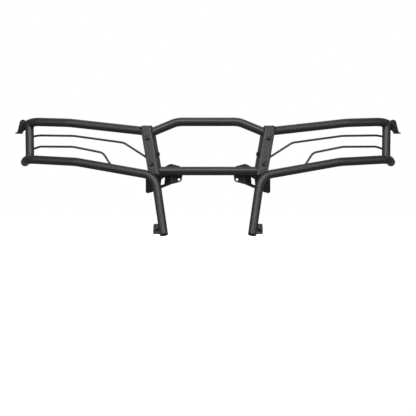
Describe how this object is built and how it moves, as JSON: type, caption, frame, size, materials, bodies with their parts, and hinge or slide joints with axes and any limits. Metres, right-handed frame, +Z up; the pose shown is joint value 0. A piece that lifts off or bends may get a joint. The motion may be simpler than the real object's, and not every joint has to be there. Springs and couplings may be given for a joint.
{
  "type": "front grille guard",
  "caption": "Bolt-together tube grille guard: arched centre frame, two wrap-around wings with legs and rods, bent brackets and slotted clamp plates.",
  "frame": {"origin": "middle of the four bracket bolts, on the rear faces of the two brackets, where the guard meets the vehicle", "axes": "+X to the right as seen from in front of the guard, +Y back towards the vehicle, +Z up"},
  "size_m": [1.4442, 0.3322, 0.44],
  "materials": {
    "powder_coat": "satin black powder coat with a fine texture",
    "bracket_coat": "satin black powder coat",
    "black_hardware": "black zinc plating",
    "zinc": "bright zinc plating",
    "black_plastic": "moulded black plastic"
  },
  "bodies": {
    "centre": {"centre_bottom_tube": "powder_coat", "centre_top_tube": "powder_coat", "left_bracket": "bracket_coat", "left_bracket_bolt": "black_hardware", "left_lower_tab": "powder_coat", "left_lower_vehicle_bolt": "black_hardware", "left_lower_vehicle_nut": "black_hardware", "left_side_plate": "powder_coat", "left_standoff_sleeve": "zinc", "left_upper_vehicle_bolt": "black_hardware", "left_upper_vehicle_nut": "black_hardware", "left_web_bolt": "black_hardware", "right_bracket": "bracket_coat", "right_bracket_bolt": "black_hardware", "right_lower_tab": "powder_coat", "right_lower_vehicle_bolt": "black_hardware", "right_lower_vehicle_nut": "black_hardware", "right_side_plate": "powder_coat", "right_standoff_sleeve": "zinc", "right_upper_vehicle_bolt": "black_hardware", "right_upper_vehicle_nut": "black_hardware", "right_web_bolt": "black_hardware"},
    "left_wing": {"left_fender_hook": "powder_coat", "left_foot_bolt": "black_hardware", "left_foot_nut": "black_hardware", "left_foot_spacer": "zinc", "left_foot_tab": "powder_coat", "left_hook_screw_1": "black_hardware", "left_hook_screw_2": "black_hardware", "left_leg_cap": "black_plastic", "left_lower_rod": "powder_coat", "left_rear_cap": "black_plastic", "left_upper_rod": "powder_coat", "left_wing_bottom_tube": "powder_coat", "left_wing_plate": "powder_coat", "left_wing_top_tube": "powder_coat", "left_wing_upright": "powder_coat"},
    "left_clamp": {"left_lower_clamp_bolt": "black_hardware", "left_lower_clamp_nut": "black_hardware", "left_upper_clamp_bolt": "black_hardware", "left_upper_clamp_nut": "black_hardware"},
    "right_wing": {"right_fender_hook": "powder_coat", "right_foot_bolt": "black_hardware", "right_foot_nut": "black_hardware", "right_foot_spacer": "zinc", "right_foot_tab": "powder_coat", "right_hook_screw_1": "black_hardware", "right_hook_screw_2": "black_hardware", "right_leg_cap": "black_plastic", "right_lower_rod": "powder_coat", "right_rear_cap": "black_plastic", "right_upper_rod": "powder_coat", "right_wing_bottom_tube": "powder_coat", "right_wing_plate": "powder_coat", "right_wing_top_tube": "powder_coat", "right_wing_upright": "powder_coat"},
    "right_clamp": {"right_lower_clamp_bolt": "black_hardware", "right_lower_clamp_nut": "black_hardware", "right_upper_clamp_bolt": "black_hardware", "right_upper_clamp_nut": "black_hardware"}
  },
  "joints": [
    {"name": "left_clamp_slide", "type": "slide", "parent": "centre", "child": "left_clamp", "axis": [0.7964, -0.0639, 0.6014], "range_m": [-0.003, 0.003]},
    {"name": "left_wing_slide", "type": "slide", "parent": "left_clamp", "child": "left_wing", "axis": [-0.1679, 0.2551, 0.9522], "range_m": [-0.003, 0.003]},
    {"name": "right_clamp_slide", "type": "slide", "parent": "centre", "child": "right_clamp", "axis": [-0.7964, -0.0639, 0.6014], "range_m": [-0.003, 0.003]},
    {"name": "right_wing_slide", "type": "slide", "parent": "right_clamp", "child": "right_wing", "axis": [0.1679, 0.2551, 0.9522], "range_m": [-0.003, 0.003]}
  ]
}
